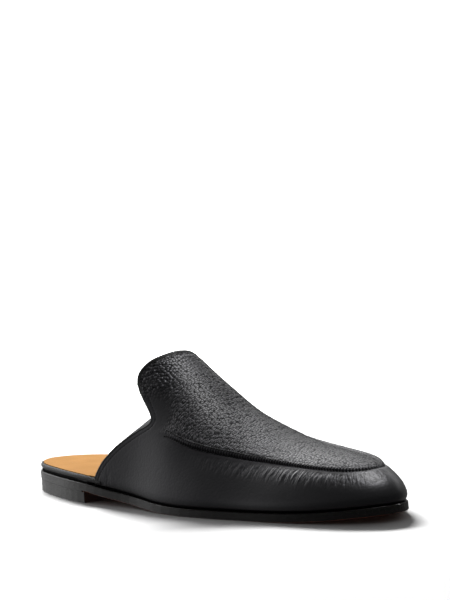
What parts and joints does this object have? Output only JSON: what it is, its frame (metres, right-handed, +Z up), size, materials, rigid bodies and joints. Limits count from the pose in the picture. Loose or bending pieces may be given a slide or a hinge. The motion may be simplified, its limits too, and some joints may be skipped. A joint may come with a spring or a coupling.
{
  "type": "slipper loafer",
  "caption": "Backless leather slip-on for the right foot: a high rounded tongue, an oval apron, a thin leather outsole with an arch and toe spring, and a low heel block.",
  "frame": {"origin": "Middle of the shoe's outline in plan, on the floor it stands on", "axes": "+X runs from the heel to the toe, +Y to the inner (medial) side of a right foot, +Z up; the outer (lateral) side is at -Y"},
  "size_m": [0.2922, 0.0972, 0.0873],
  "materials": {
    "sole_leather": "satin, chestnut tread with a black edge",
    "heel_leather": "satin black edge, rubbed dark red on the breast",
    "footbed_leather": "smooth black leather wrapped over board",
    "sock_leather": "smooth undyed tan",
    "upper_leather": "black, pebbled grain, soft sheen"
  },
  "bodies": {
    "root": {"outsole": "sole_leather", "heel": "heel_leather", "insole": "footbed_leather", "sock_lining": "sock_leather", "upper": "upper_leather"}
  },
  "joints": []
}
